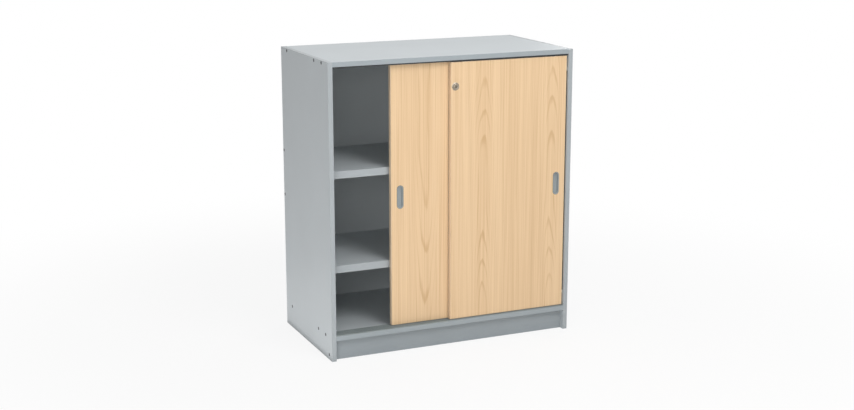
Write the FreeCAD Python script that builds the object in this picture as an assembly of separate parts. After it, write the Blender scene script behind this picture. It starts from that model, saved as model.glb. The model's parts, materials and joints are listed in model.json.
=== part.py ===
import FreeCAD, Part
import math
import os

from FreeCAD import Vector

# Office cabinet with two sliding doors that run past each other in front of three
# compartments. Millimetres. X runs to the right, Y to the back and Z up. The origin is on
# the floor, under the middle of the cabinet, and the fronts of the doors face -Y.

# Carcase
WIDTH = 890.0
DEPTH = 470.0
HEIGHT = 1000.0
SIDE_THICK = 16.0
TOP_THICK = 16.0
BOTTOM_THICK = 16.0
BACK_THICK = 16.0
EDGING = 1.0                # lipping glued to every edge that shows
EDGING_ROUND = 0.6          # its long outer edges
PLINTH_HEIGHT = 70.0
PLINTH_THICK = 16.0
PLINTH_RECESS = 20.0

# Shelves
SHELF_THICK = 25.0
LOWER_SHELF_TOP = 315.0     # height of its upper face above the floor
GRID = 32.0                 # pitch of the hole rows for shelf supports
SHELF_GRID_STEPS = 10       # grid steps between the two shelves
SHELF_DOOR_GAP = 5.5        # from the back of the rear door to the front of a shelf
SHELF_END_GAP = 1.0
SHELF_BACK_GAP = 2.0

# Sliding doors. Positions along X are those of the rest pose: right door closed, left open.
DOOR_THICK = 16.0
DOOR_SETBACK = 6.0          # front door's face behind the front of the carcase
DOOR_GAP = 3.0              # between the two doors
DOOR_END_GAP = 4.0          # between a closed door and the side panel
DOOR_OVERLAP = 22.0         # how far the closed doors lie over each other
DOOR_FLOOR_GAP = 5.0        # under the doors
DOOR_HEAD_GAP = 7.0         # over the doors
LEFT_DOOR_OPEN = 205.0      # how far the left door stands open

# Oval finger pulls, let into the doors
PULL_INSET = 33.0           # from the door's outer edge to the middle of its pull
PULL_FLANGE_WIDTH = 24.0
PULL_FLANGE_HEIGHT = 80.0
PULL_FLANGE_THICK = 1.0
PULL_LIP = 2.3              # how far the flange laps over the door round the cup
PULL_WALL = 1.2
PULL_DEPTH = 10.5

# Rollers under the doors, and the guides on top of them
WHEEL_R = 8.0
WHEEL_WIDTH = 5.0
WHEEL_CHAMFER = 0.5
AXLE_R = 1.5
CARRIER_INSET = 60.0        # from the door's edge to the middle of a roller or guide
CARRIER_LENGTH = 46.0
CARRIER_HEIGHT = 17.0
CARRIER_CHEEK = 1.9         # plastic left on each side of the wheel
CARRIER_FLANGE_LENGTH = 72.0
CARRIER_FLANGE_THICK = 1.6
CARRIER_FLANGE_LAP = 1.2    # how much wider the flange is than the block, each side
GUIDE_LENGTH = 30.0
GUIDE_TENON_WIDTH = 8.0
GUIDE_TENON_DEPTH = 14.0
GUIDE_TONGUE_WIDTH = 12.0
GUIDE_TONGUE_HEIGHT = 4.0

# Tracks
TRACK_MARGIN = 12.5         # from a lane's middle to the outer edge of the bottom track
TRACK_BASE = 1.5
TRACK_RIB = 1.2
TRACK_RIB_HEIGHT = 2.0
TRACK_KERB = 7.0            # from a lane's middle to its outer rib
TOP_TRACK_WEB = 1.5
TOP_TRACK_WALL = 1.2
TOP_TRACK_DROP = 3.5        # height of the walls below the web
TRACK_SCREWS_PER_LANE = 4
TRACK_SCREW_END = 60.0      # from the side panel to the first track screw

# Buffers that the doors close against
BUFFER_R = 5.0
BUFFER_FROM_DOOR_END = 45.0

# Joints between the boards: one-piece connector screws and wooden dowels
BOLT_HEAD_R = 5.8
BOLT_HEAD_LENGTH = 3.0
BOLT_SHANK_R = 3.2
BOLT_LENGTH = 50.0
BOLT_SOCKET_FLATS = 4.0
BOLT_SOCKET_DEPTH = 2.0
BOLT_FRONT = 61.0           # from the front edge, in the top and bottom panels
BOLT_MIDDLE = 132.0
BOLT_REAR = 62.0            # from the back
PLINTH_BOLT_HEIGHT = 18.0
BACK_BOLT_HEIGHTS = (478.0, 637.0)
DOWEL_R = 4.0
DOWEL_LENGTH = 30.0
DOWEL_IN_SIDE = 10.0
DOWEL_FRONT = 95.0
DOWEL_REAR = 200.0
PLINTH_DOWEL_HEIGHT = 48.0
BACK_DOWEL_HEIGHTS = (200.0, 850.0)

# Shelf supports: a pin in the side panel with a flat-topped lug
PIN_R = 2.5
PIN_DEPTH = 9.5
LUG_R = 5.0
LUG_LENGTH = 8.0
PIN_SETBACK = 50.0          # from a shelf's front or back edge
SPARE_HOLES = 2             # free holes above and below each support

# Push lock in the right door
LOCK_INSET = 16.5           # from the door's left edge
LOCK_DROP = 81.0            # from the door's top edge
ROSETTE_R = 13.5
ROSETTE_THICK = 1.5
ROSETTE_CHAMFER = 0.5
CYLINDER_R = 9.4
CYLINDER_LENGTH = 10.0
CYLINDER_PROUD = 5.5        # from the door's face to the cylinder's face
CYLINDER_EDGE = 0.4         # chamfer on the cylinder's face
HOUSING_WALL = 1.55
HOUSING_PLATE_WIDTH = 24.0
HOUSING_PLATE_HEIGHT = 44.0
HOUSING_PLATE_THICK = 2.0
PLUG_R = 5.5
PLUG_DEPTH = 7.4
KEYWAY_WIDTH = 1.4
KEYWAY_HEIGHT = 7.0
KEYWAY_DEPTH = 6.0
BOLT_PIN_R = 4.0
BOLT_PIN_REACH = 6.0        # from the back of the cylinder to the bolt's tip
SPIGOT_R = 3.0
SPIGOT_LENGTH = 1.8
SPRING_R = 7.4              # to the middle of the wire
SPRING_WIRE_R = 0.4
SPRING_WIRE_SIDES = 8
SPRING_TURNS = 4
SPRING_POCKET = 5.5         # depth of the ring-shaped pocket that holds the spring
SPRING_POCKET_INNER_R = 6.6
SPRING_POCKET_OUTER_R = 8.2

# Strike plate on the left door, beside the place where the bolt comes through
STRIKE_WIDTH = 12.0
STRIKE_HEIGHT = 44.0
STRIKE_THICK = 2.0
STRIKE_BOLT_GAP = 1.0

# Small countersunk screws
SCREW_HEAD_R = 2.8
SCREW_HEAD_LENGTH = 1.4
SCREW_SHANK_R = 1.4
SCREW_LENGTH = 12.0
SCREW_MARGIN = 5.0          # from a plate's end to the middle of its screw

# Clearances
RUN = 0.05                  # a turning or sliding shaft in its hole, on the radius
FIXED = 0.1                 # a pin, screw or dowel in its hole, on the radius
SEAT = 0.2                  # a let-in piece in its pocket, each side
ROLL = 0.3                  # a wheel above its track, a closed door before its buffer
GROOVE = 0.5                # a wheel between its ribs, each side

# Places that follow from the sizes above
FRONT = -DEPTH / 2
REAR = DEPTH / 2
INNER_X = WIDTH / 2 - SIDE_THICK
FLOOR_Z = PLINTH_HEIGHT + BOTTOM_THICK
CEILING_Z = HEIGHT - TOP_THICK
BACK_FACE = REAR - BACK_THICK
DOOR_WIDTH = INNER_X - DOOR_END_GAP + DOOR_OVERLAP / 2
DOOR_BOTTOM = FLOOR_Z + DOOR_FLOOR_GAP
DOOR_TOP = CEILING_Z - DOOR_HEAD_GAP
FRONT_LANE = FRONT + DOOR_SETBACK + DOOR_THICK / 2
REAR_LANE = FRONT_LANE + DOOR_THICK + DOOR_GAP
LANES = (FRONT_LANE, REAR_LANE)
LEFT_DOOR_X = -INNER_X + DOOR_END_GAP + LEFT_DOOR_OPEN
RIGHT_DOOR_X = INNER_X - DOOR_END_GAP - DOOR_WIDTH
SHELF_FRONT = REAR_LANE + DOOR_THICK / 2 + SHELF_DOOR_GAP
SHELF_BACK = BACK_FACE - SHELF_BACK_GAP
SHELF_TOPS = (LOWER_SHELF_TOP, LOWER_SHELF_TOP + SHELF_GRID_STEPS * GRID)
PIN_ROWS = (SHELF_FRONT + PIN_SETBACK, SHELF_BACK - PIN_SETBACK)
GROOVE_HALF = WHEEL_WIDTH / 2 + GROOVE
TRACK_TOP = FLOOR_Z + TRACK_BASE
AXLE_Z = TRACK_TOP + ROLL + WHEEL_R
LOCK_X = RIGHT_DOOR_X + LOCK_INSET
LOCK_Z = DOOR_TOP - LOCK_DROP
DOOR_FACE = FRONT_LANE - DOOR_THICK / 2
DOOR_BACK = FRONT_LANE + DOOR_THICK / 2
CYLINDER_FACE = DOOR_FACE - CYLINDER_PROUD
CYLINDER_BACK = CYLINDER_FACE + CYLINDER_LENGTH
HOUSING_R = CYLINDER_R + RUN + HOUSING_WALL
HOUSING_FLOOR = DOOR_BACK - HOUSING_PLATE_THICK


# Shapes

def block(x, y, z):
    """Box between the pairs of limits x, y and z."""
    size = [high - low for low, high in (x, y, z)]
    return Part.makeBox(*size, Vector(x[0], y[0], z[0]))


def around(middle, half):
    """Pair of limits on both sides of a middle."""
    return middle - half, middle + half


def rod(radius, length, start, direction):
    """Round bar from start along direction."""
    return Part.makeCylinder(radius, length, Vector(*start), Vector(*direction))


def oval(x, z, width, height, y):
    """Upright slot with round ends, between the two limits y."""
    radius, reach = width / 2, (height - width) / 2
    shape = block(around(x, radius), y, around(z, reach))
    for end in around(z, reach):
        shape = shape.fuse(rod(radius, y[1] - y[0], (x, y[0], end), (0, 1, 0)))
    return shape.removeSplitter()


def countersunk(point, direction, slack=0.0):
    """Small screw with its flat head at point, or the hole for it where slack is given."""
    start, way = Vector(*point), Vector(*direction)
    head = Part.makeCone(SCREW_HEAD_R + slack, SCREW_SHANK_R + slack, SCREW_HEAD_LENGTH, start, way)
    length = SCREW_LENGTH - SCREW_HEAD_LENGTH + slack
    shank = Part.makeCylinder(SCREW_SHANK_R + slack, length, start + way * SCREW_HEAD_LENGTH, way)
    return head.fuse(shank)


def lipping(x, y, z, outside):
    """Strip between the limits x, y and z, with its long edges on the outer face rounded.

    outside gives the axis across the strip (0, 1 or 2 for X, Y or Z) and the outer face's place.
    """
    strip = block(x, y, z)
    axis, face = outside
    longest = max(edge.Length for edge in strip.Edges)
    on_face = [e for e in strip.Edges if all(abs(v.Point[axis] - face) < RUN for v in e.Vertexes)]
    return strip.makeFillet(EDGING_ROUND, [e for e in on_face if e.Length > longest - RUN])


def screws_and_holes(points, direction):
    """Countersunk screws at the points, and one tool that cuts their holes."""
    screws = [countersunk(point, direction) for point in points]
    holes = [countersunk(point, direction, FIXED) for point in points]
    return Part.makeCompound(screws), Part.makeCompound(holes)


# Connector screws and dowels between the side panels and the boards

def bolt_places():
    """Depth and height of every connector screw in one side panel."""
    depths = (FRONT + BOLT_FRONT, FRONT + BOLT_MIDDLE, REAR - BOLT_REAR)
    heights = (PLINTH_HEIGHT + BOTTOM_THICK / 2, CEILING_Z + TOP_THICK / 2)
    places = [(y, z) for y in depths for z in heights]
    places.append((FRONT + PLINTH_RECESS + PLINTH_THICK / 2, PLINTH_BOLT_HEIGHT))
    return places + [(REAR - BACK_THICK / 2, z) for z in BACK_BOLT_HEIGHTS]


def dowel_places():
    """Depth and height of every dowel in one side panel."""
    depths = (FRONT + DOWEL_FRONT, REAR - DOWEL_REAR)
    heights = (PLINTH_HEIGHT + BOTTOM_THICK / 2, CEILING_Z + TOP_THICK / 2)
    places = [(y, z) for y in depths for z in heights]
    places.append((FRONT + PLINTH_RECESS + PLINTH_THICK / 2, PLINTH_DOWEL_HEIGHT))
    return places + [(REAR - BACK_THICK / 2, z) for z in BACK_DOWEL_HEIGHTS]


def connector_screw(side, y, z, slack=0.0):
    """Screw driven from the outside of a side panel, its head flush with that face."""
    face, way = (side * WIDTH / 2, y, z), (-side, 0, 0)
    head = rod(BOLT_HEAD_R + slack, BOLT_HEAD_LENGTH, face, way)
    return head.fuse(rod(BOLT_SHANK_R + slack, BOLT_LENGTH + slack, face, way))


def hex_socket(side, y, z):
    """Six-sided hole for the key in the head of a connector screw."""
    radius = BOLT_SOCKET_FLATS / math.sqrt(3)
    angles = [math.pi / 3 * k for k in range(7)]
    face = side * WIDTH / 2
    ring = [Vector(face, y + radius * math.cos(a), z + radius * math.sin(a)) for a in angles]
    return Part.Face(Part.makePolygon(ring)).extrude(Vector(-side * BOLT_SOCKET_DEPTH, 0, 0))


def dowel(side, y, z, slack=0.0):
    """Wooden dowel, partly in the side panel and partly in the end of a board."""
    start = side * (INNER_X + DOWEL_IN_SIDE + slack)
    return rod(DOWEL_R + slack, DOWEL_LENGTH + 2 * slack, (start, y, z), (-side, 0, 0))


def board_joint_holes(side):
    """One tool that cuts all holes for screws and dowels at one side panel."""
    tools = [connector_screw(side, y, z, FIXED) for y, z in bolt_places()]
    tools += [dowel(side, y, z, FIXED) for y, z in dowel_places()]
    return Part.makeCompound(tools)


# Carcase

def shelf_pin_heights():
    """Height of each shelf support's pin: its top is level with the shelf's underside."""
    return [top - SHELF_THICK - PIN_R for top in SHELF_TOPS]


def shelf_holes(side):
    """Blind holes of the two rows, with spare ones above and below each support."""
    tools = []
    for y in PIN_ROWS:
        for z in shelf_pin_heights():
            for step in range(-SPARE_HOLES, SPARE_HOLES + 1):
                start = (side * INNER_X, y, z + step * GRID)
                tools.append(rod(PIN_R + FIXED, PIN_DEPTH + FIXED, start, (side, 0, 0)))
    return Part.makeCompound(tools)


def side_x(side):
    """Limits of a side panel along X."""
    return sorted((side * INNER_X, side * WIDTH / 2))


def side_panel(side):
    """Side panel from the floor to the top, drilled for its neighbours and the shelves."""
    panel = block(side_x(side), (FRONT + EDGING, REAR), (0, HEIGHT - EDGING))
    return panel.cut(board_joint_holes(side)).cut(shelf_holes(side))


def side_edging(side):
    """Lipping on a side panel's front edge and upper end."""
    front = lipping(side_x(side), (FRONT, FRONT + EDGING), (0, HEIGHT), (1, FRONT))
    upper = lipping(side_x(side), (FRONT + EDGING, REAR), (HEIGHT - EDGING, HEIGHT), (2, HEIGHT))
    return Part.makeCompound([front, upper])


def between_sides(y, z):
    """Board that spans from side panel to side panel, with the holes in its ends."""
    board = block((-INNER_X, INNER_X), y, z)
    for side in (-1, 1):
        board = board.cut(board_joint_holes(side))
    return board


def shelf(top):
    """Loose shelf, a little shorter than the room between the side panels."""
    y = (SHELF_FRONT + EDGING, SHELF_BACK)
    return block(around(0, INNER_X - SHELF_END_GAP), y, (top - SHELF_THICK, top))


def shelf_edging(top):
    """Lipping on a shelf's front edge."""
    x, y = around(0, INNER_X - SHELF_END_GAP), (SHELF_FRONT, SHELF_FRONT + EDGING)
    return lipping(x, y, (top - SHELF_THICK, top), (1, SHELF_FRONT))


def shelf_support(side, y, underside):
    """Pin in a hole of the row, with a half-round lug whose flat top bears the shelf."""
    face = (side * INNER_X, y, underside - PIN_R)
    pin = rod(PIN_R, PIN_DEPTH, face, (side, 0, 0))
    lug = rod(LUG_R, LUG_LENGTH, (side * INNER_X, y, underside), (-side, 0, 0))
    over = block(around(side * INNER_X, LUG_LENGTH), around(y, LUG_R), (underside, underside + LUG_R))
    return pin.fuse(lug.cut(over))


def shelf_supports(top):
    """Four supports under one shelf."""
    underside = top - SHELF_THICK
    return Part.makeCompound([shelf_support(s, y, underside) for s in (-1, 1) for y in PIN_ROWS])


# Tracks

def track_y():
    """Limits of both tracks along Y."""
    return FRONT_LANE - TRACK_MARGIN, REAR_LANE + TRACK_MARGIN


def bottom_track():
    """Flat strip with low ribs: a pair beside each wheel groove, and kerbs round them."""
    low, high = track_y()
    half = TRACK_RIB / 2
    ribs = [low + half, high - half]
    for lane in LANES:
        ribs += around(lane, GROOVE_HALF + half)
        ribs += around(lane, TRACK_KERB)
    shape = block((-INNER_X, INNER_X), (low, high), (FLOOR_Z, TRACK_TOP))
    for y in ribs:
        rib = block((-INNER_X, INNER_X), around(y, half), (TRACK_TOP, TRACK_TOP + TRACK_RIB_HEIGHT))
        shape = shape.fuse(rib)
    return shape.removeSplitter()


def top_track():
    """Double channel, open downwards, that holds the guides of both doors upright."""
    web_z = (CEILING_Z - TOP_TRACK_WEB, CEILING_Z)
    wall_z = (web_z[0] - TOP_TRACK_DROP, web_z[0])
    shape = block((-INNER_X, INNER_X), track_y(), web_z)
    for lane in LANES:
        for y in around(lane, GUIDE_TONGUE_WIDTH / 2 + GROOVE + TOP_TRACK_WALL / 2):
            shape = shape.fuse(block((-INNER_X, INNER_X), around(y, TOP_TRACK_WALL / 2), wall_z))
    return shape.removeSplitter()


def track_screw_points(z):
    """Points of the track screws, spread evenly along each lane at height z."""
    reach = INNER_X - TRACK_SCREW_END
    step = 2 * reach / (TRACK_SCREWS_PER_LANE - 1)
    return [(k * step - reach, lane, z) for lane in LANES for k in range(TRACK_SCREWS_PER_LANE)]


def buffers(side):
    """Four buffers on a side panel, two for each door."""
    heights = (DOOR_BOTTOM + BUFFER_FROM_DOOR_END, DOOR_TOP - BUFFER_FROM_DOOR_END)
    length = DOOR_END_GAP - ROLL
    places = [(side * INNER_X, lane, z) for lane in LANES for z in heights]
    return Part.makeCompound([rod(BUFFER_R, length, place, (-side, 0, 0)) for place in places])


# Doors

def hardware_x(door_x):
    """Middles of a door's two rollers, and of its two guides."""
    return door_x + CARRIER_INSET, door_x + DOOR_WIDTH - CARRIER_INSET


def door_core(door_x, lane):
    """Door panel without its lipping."""
    x = (door_x + EDGING, door_x + DOOR_WIDTH - EDGING)
    return block(x, around(lane, DOOR_THICK / 2), (DOOR_BOTTOM + EDGING, DOOR_TOP - EDGING))


def door_strips(door_x, lane):
    """Lipping on a door: two upright strips, and one along the bottom and the top."""
    left, right, y = door_x, door_x + DOOR_WIDTH, around(lane, DOOR_THICK / 2)
    level = (left + EDGING, right - EDGING)
    return Part.makeCompound([
        lipping((left, left + EDGING), y, (DOOR_BOTTOM, DOOR_TOP), (0, left)),
        lipping((right - EDGING, right), y, (DOOR_BOTTOM, DOOR_TOP), (0, right)),
        lipping(level, y, (DOOR_BOTTOM, DOOR_BOTTOM + EDGING), (2, DOOR_BOTTOM)),
        lipping(level, y, (DOOR_TOP - EDGING, DOOR_TOP), (2, DOOR_TOP)),
    ])


def pull_middle():
    """Height of both finger pulls: the middle of the doors."""
    return (DOOR_BOTTOM + DOOR_TOP) / 2


def pull_cup(x, lane, grow, y):
    """Oval of the pull's cup, grown by grow on every side, between the limits y off the face."""
    width = PULL_FLANGE_WIDTH - 2 * PULL_LIP + 2 * grow
    height = PULL_FLANGE_HEIGHT - 2 * PULL_LIP + 2 * grow
    face = lane - DOOR_THICK / 2
    return oval(x, pull_middle(), width, height, (face + y[0], face + y[1]))


def finger_pull(x, lane):
    """Oval cup with a thin flange that laps over the door's face."""
    face = lane - DOOR_THICK / 2
    flange = oval(x, pull_middle(), PULL_FLANGE_WIDTH, PULL_FLANGE_HEIGHT, (face - PULL_FLANGE_THICK, face))
    rim = [e for e in flange.Edges if e.BoundBox.YMax < face - PULL_FLANGE_THICK / 2]
    flange = flange.makeFillet(PULL_FLANGE_THICK / 2, rim)
    cup = pull_cup(x, lane, 0, (0, PULL_DEPTH))
    inside = pull_cup(x, lane, -PULL_WALL, (-PULL_FLANGE_THICK, PULL_DEPTH - PULL_WALL))
    return flange.fuse(cup).cut(inside)


def carrier_widths():
    """Width of a roller carrier's block, and of its flange."""
    width = 2 * (GROOVE_HALF + CARRIER_CHEEK)
    return width, width + 2 * CARRIER_FLANGE_LAP


def carrier_solid(x, lane, grow):
    """Roller carrier without its openings, grown by grow to cut its pocket in the door."""
    width, flange = carrier_widths()
    body = block(around(x, CARRIER_LENGTH / 2 + grow), around(lane, width / 2 + grow),
                 (DOOR_BOTTOM, DOOR_BOTTOM + CARRIER_HEIGHT + grow))
    plate = block(around(x, CARRIER_FLANGE_LENGTH / 2 + grow), around(lane, flange / 2 + grow),
                  (DOOR_BOTTOM, DOOR_BOTTOM + CARRIER_FLANGE_THICK))
    return body.fuse(plate)


def carrier_screw_points(door_x, lane):
    """Points of the screws in the flanges of a door's two carriers."""
    reach = CARRIER_FLANGE_LENGTH / 2 - SCREW_MARGIN
    return [(end, lane, DOOR_BOTTOM) for x in hardware_x(door_x) for end in around(x, reach)]


def roller_carrier(x, lane):
    """Plastic block with a slot for the wheel and a hole for its axle."""
    room = WHEEL_R + 2 * GROOVE
    slot = block(around(x, room), around(lane, GROOVE_HALF), (DOOR_BOTTOM, AXLE_Z + room))
    axle_hole = axle(x, lane, FIXED / 2)
    return carrier_solid(x, lane, 0).cut(slot).cut(axle_hole)


def axle(x, lane, slack=0.0):
    """Steel axle across a carrier, or the hole for it where slack is given."""
    width = carrier_widths()[0]
    return rod(AXLE_R + slack, width, (x, lane - width / 2, AXLE_Z), (0, 1, 0))


def wheel(x, lane):
    """Roller wheel that turns on its axle."""
    start = (x, lane - WHEEL_WIDTH / 2, AXLE_Z)
    disc = rod(WHEEL_R, WHEEL_WIDTH, start, (0, 1, 0))
    rims = [e for e in disc.Edges if e.BoundBox.YLength < WHEEL_CHAMFER]
    return disc.makeChamfer(WHEEL_CHAMFER, rims).cut(rod(AXLE_R + RUN, WHEEL_WIDTH, start, (0, 1, 0)))


def guide_tenon(x, lane, grow):
    """Lower half of a top guide, let into the door's upper edge."""
    y = around(lane, GUIDE_TENON_WIDTH / 2 + grow)
    return block(around(x, GUIDE_LENGTH / 2 + grow), y, (DOOR_TOP - GUIDE_TENON_DEPTH - grow, DOOR_TOP))


def top_guide(x, lane):
    """Plastic guide: a tenon in the door, and a tongue that runs in the top track."""
    tongue = block(around(x, GUIDE_LENGTH / 2), around(lane, GUIDE_TONGUE_WIDTH / 2),
                   (DOOR_TOP, DOOR_TOP + GUIDE_TONGUE_HEIGHT))
    return guide_tenon(x, lane, 0).fuse(tongue)


def door_cutouts(door_x, lane, pull_x):
    """One tool for the pull's pocket, the carriers' pockets and the guides' mortises."""
    tools = [pull_cup(pull_x, lane, SEAT, (0, PULL_DEPTH + SEAT))]
    for x in hardware_x(door_x):
        tools += [carrier_solid(x, lane, SEAT), guide_tenon(x, lane, SEAT)]
    tools.append(screws_and_holes(carrier_screw_points(door_x, lane), (0, 0, 1))[1])
    return Part.makeCompound(tools)


def cut_strips(strips, tool):
    """Cut each strip by itself, so that they stay separate solids."""
    return Part.makeCompound([solid for strip in strips.Solids for solid in strip.cut(tool).Solids])


def door(name, door_x, lane, pull_x, extra_cut):
    """Every piece that both doors have, by node name."""
    cutouts = door_cutouts(door_x, lane, pull_x)
    screws, holes = screws_and_holes(carrier_screw_points(door_x, lane), (0, 0, 1))
    middles = hardware_x(door_x)
    pieces = {
        "panel": door_core(door_x, lane).cut(cutouts).cut(extra_cut),
        "edging": cut_strips(door_strips(door_x, lane), cutouts),
        "finger_pull": finger_pull(pull_x, lane),
        "roller_carriers": Part.makeCompound([roller_carrier(x, lane).cut(holes) for x in middles]),
        "carrier_screws": screws,
        "roller_axles": Part.makeCompound([axle(x, lane) for x in middles]),
        "left_roller": wheel(middles[0], lane),
        "right_roller": wheel(middles[1], lane),
        "top_guides": Part.makeCompound([top_guide(x, lane) for x in middles]),
    }
    return {name + "_" + piece: shape for piece, shape in pieces.items()}


# Lock and strike

def lock_bar(radius, y0, y1):
    """Round bar on the lock's axis between two depths."""
    return rod(radius, y1 - y0, (LOCK_X, y0, LOCK_Z), (0, 1, 0))


def housing_plate(grow):
    """Plate of the lock housing, let into the back of the door."""
    x = around(LOCK_X, HOUSING_PLATE_WIDTH / 2 + grow)
    z = around(LOCK_Z, HOUSING_PLATE_HEIGHT / 2 + grow)
    return block(x, (HOUSING_FLOOR - grow, DOOR_BACK), z)


def lock_screw_points():
    """Points of the two screws that hold the lock housing."""
    reach = HOUSING_PLATE_HEIGHT / 2 - SCREW_MARGIN
    return [(LOCK_X, DOOR_BACK, z) for z in around(LOCK_Z, reach)]


def lock_cutout():
    """One tool for the hole, the plate's pocket and the screw holes in the door."""
    hole = lock_bar(HOUSING_R + SEAT, DOOR_FACE, DOOR_BACK)
    screw_holes = screws_and_holes(lock_screw_points(), (0, -1, 0))[1]
    return Part.makeCompound([hole, housing_plate(SEAT), screw_holes])


def lock_housing(screw_holes):
    """Tube through the door with a plate at its back, in which the push cylinder slides."""
    tube = lock_bar(HOUSING_R, DOOR_FACE, HOUSING_FLOOR)
    bore = lock_bar(CYLINDER_R + RUN, DOOR_FACE, HOUSING_FLOOR)
    bolt_hole = lock_bar(BOLT_PIN_R + RUN, HOUSING_FLOOR, DOOR_BACK)
    return tube.fuse(housing_plate(0)).cut(bore).cut(bolt_hole).cut(screw_holes)


def lock_rosette():
    """Ring on the door's face round the push cylinder."""
    ring = lock_bar(ROSETTE_R, DOOR_FACE - ROSETTE_THICK, DOOR_FACE)
    rim = [e for e in ring.Edges if e.BoundBox.YMax < DOOR_FACE - ROSETTE_THICK / 2]
    ring = ring.makeChamfer(ROSETTE_CHAMFER, rim)
    return ring.cut(lock_bar(CYLINDER_R + FIXED, DOOR_FACE - ROSETTE_THICK, DOOR_FACE))


def push_cylinder():
    """Cylinder with a bore for the plug in front, and a ring-shaped spring pocket behind."""
    shape = lock_bar(CYLINDER_R, CYLINDER_FACE, CYLINDER_BACK)
    rim = [e for e in shape.Edges if e.BoundBox.YMax < CYLINDER_FACE + RUN]
    shape = shape.makeChamfer(CYLINDER_EDGE, rim)
    shape = shape.cut(lock_bar(PLUG_R + RUN, CYLINDER_FACE, CYLINDER_FACE + PLUG_DEPTH + RUN))
    pocket = lock_bar(SPRING_POCKET_OUTER_R, CYLINDER_BACK - SPRING_POCKET, CYLINDER_BACK)
    core = lock_bar(SPRING_POCKET_INNER_R, CYLINDER_BACK - SPRING_POCKET, CYLINDER_BACK)
    spigot_hole = lock_bar(SPIGOT_R + RUN, CYLINDER_BACK - SPIGOT_LENGTH - RUN, CYLINDER_BACK)
    return shape.cut(pocket.cut(core)).cut(spigot_hole)


def lock_plug():
    """Core that the key turns, with a keyway in its face."""
    plug = lock_bar(PLUG_R, CYLINDER_FACE, CYLINDER_FACE + PLUG_DEPTH)
    y = (CYLINDER_FACE, CYLINDER_FACE + KEYWAY_DEPTH)
    return plug.cut(block(around(LOCK_X, KEYWAY_WIDTH / 2), y, around(LOCK_Z, KEYWAY_HEIGHT / 2)))


def lock_bolt():
    """Bolt that the push cylinder drives out of the back of the door."""
    pin = lock_bar(BOLT_PIN_R, CYLINDER_BACK, CYLINDER_BACK + BOLT_PIN_REACH)
    return pin.fuse(lock_bar(SPIGOT_R, CYLINDER_BACK - SPIGOT_LENGTH, CYLINDER_BACK))


def lock_spring():
    """Coil spring between the push cylinder and the floor of the housing."""
    start = CYLINDER_BACK - SPRING_POCKET + RUN + SPRING_WIRE_R
    length = HOUSING_FLOOR - RUN - SPRING_WIRE_R - start
    path = Part.Wire(Part.makeHelix(length / SPRING_TURNS, length, SPRING_R))
    angles = [2 * math.pi / SPRING_WIRE_SIDES * k for k in range(SPRING_WIRE_SIDES + 1)]
    ring = [Vector(SPRING_R + SPRING_WIRE_R * math.cos(a), 0, SPRING_WIRE_R * math.sin(a)) for a in angles]
    coil = path.makePipeShell([Part.makePolygon(ring)], True, True)
    coil.rotate(Vector(0, 0, 0), Vector(1, 0, 0), -90)
    coil.translate(Vector(LOCK_X, start, LOCK_Z))
    return coil


def strike_x():
    """Limits of the strike plate along X: it ends just before the bolt of the closed doors."""
    closed_bolt = LOCK_X + LEFT_DOOR_OPEN
    high = closed_bolt - BOLT_PIN_R - STRIKE_BOLT_GAP
    return high - STRIKE_WIDTH, high


def strike_screw_points():
    """Points of the two screws that hold the strike plate."""
    face = REAR_LANE - DOOR_THICK / 2 - STRIKE_THICK
    reach = STRIKE_HEIGHT / 2 - SCREW_MARGIN
    return [(sum(strike_x()) / 2, face, z) for z in around(LOCK_Z, reach)]


def strike_plate(screw_holes):
    """Plate on the left door's face whose edge the bolt catches when both doors are closed."""
    face = REAR_LANE - DOOR_THICK / 2
    plate = block(strike_x(), (face - STRIKE_THICK, face), around(LOCK_Z, STRIKE_HEIGHT / 2))
    return plate.cut(screw_holes)


# Nodes

def carcase_nodes():
    """Boards, lippings and what joins them."""
    bottom_z, top_z = (PLINTH_HEIGHT, FLOOR_Z), (CEILING_Z, HEIGHT)
    core_y, edge_y = (FRONT + EDGING, REAR), (FRONT, FRONT + EDGING)
    plinth_front = FRONT + PLINTH_RECESS
    dowels = [dowel(side, y, z) for side in (-1, 1) for y, z in dowel_places()]
    nodes = {
        "top_panel": between_sides(core_y, top_z),
        "bottom_panel": between_sides(core_y, bottom_z),
        "back_panel": between_sides((BACK_FACE, REAR), (FLOOR_Z, CEILING_Z)),
        "plinth_board": between_sides((plinth_front, plinth_front + PLINTH_THICK), (0, PLINTH_HEIGHT)),
        "top_panel_edging": lipping((-INNER_X, INNER_X), edge_y, top_z, (1, FRONT)),
        "bottom_panel_edging": lipping((-INNER_X, INNER_X), edge_y, bottom_z, (1, FRONT)),
        "wooden_dowels": Part.makeCompound(dowels),
    }
    for name, side in (("left", -1), ("right", 1)):
        screws = [connector_screw(side, y, z).cut(hex_socket(side, y, z)) for y, z in bolt_places()]
        nodes[name + "_side_panel"] = side_panel(side)
        nodes[name + "_side_edging"] = side_edging(side)
        nodes[name + "_side_screws"] = Part.makeCompound(screws)
        nodes[name + "_side_buffers"] = buffers(side)
    for name, top in zip(("lower", "upper"), SHELF_TOPS):
        nodes[name + "_shelf"] = shelf(top)
        nodes[name + "_shelf_edging"] = shelf_edging(top)
        nodes[name + "_shelf_supports"] = shelf_supports(top)
    return nodes


def track_nodes(nodes):
    """Both tracks and their screws; the screw holes are also cut in the panels."""
    bottom_screws, bottom_holes = screws_and_holes(track_screw_points(TRACK_TOP), (0, 0, -1))
    top_screws, top_holes = screws_and_holes(track_screw_points(CEILING_Z - TOP_TRACK_WEB), (0, 0, 1))
    nodes["bottom_panel"] = nodes["bottom_panel"].cut(bottom_holes)
    nodes["top_panel"] = nodes["top_panel"].cut(top_holes)
    return {
        "bottom_track": bottom_track().cut(bottom_holes),
        "bottom_track_screws": bottom_screws,
        "top_track": top_track().cut(top_holes),
        "top_track_screws": top_screws,
    }


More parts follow.
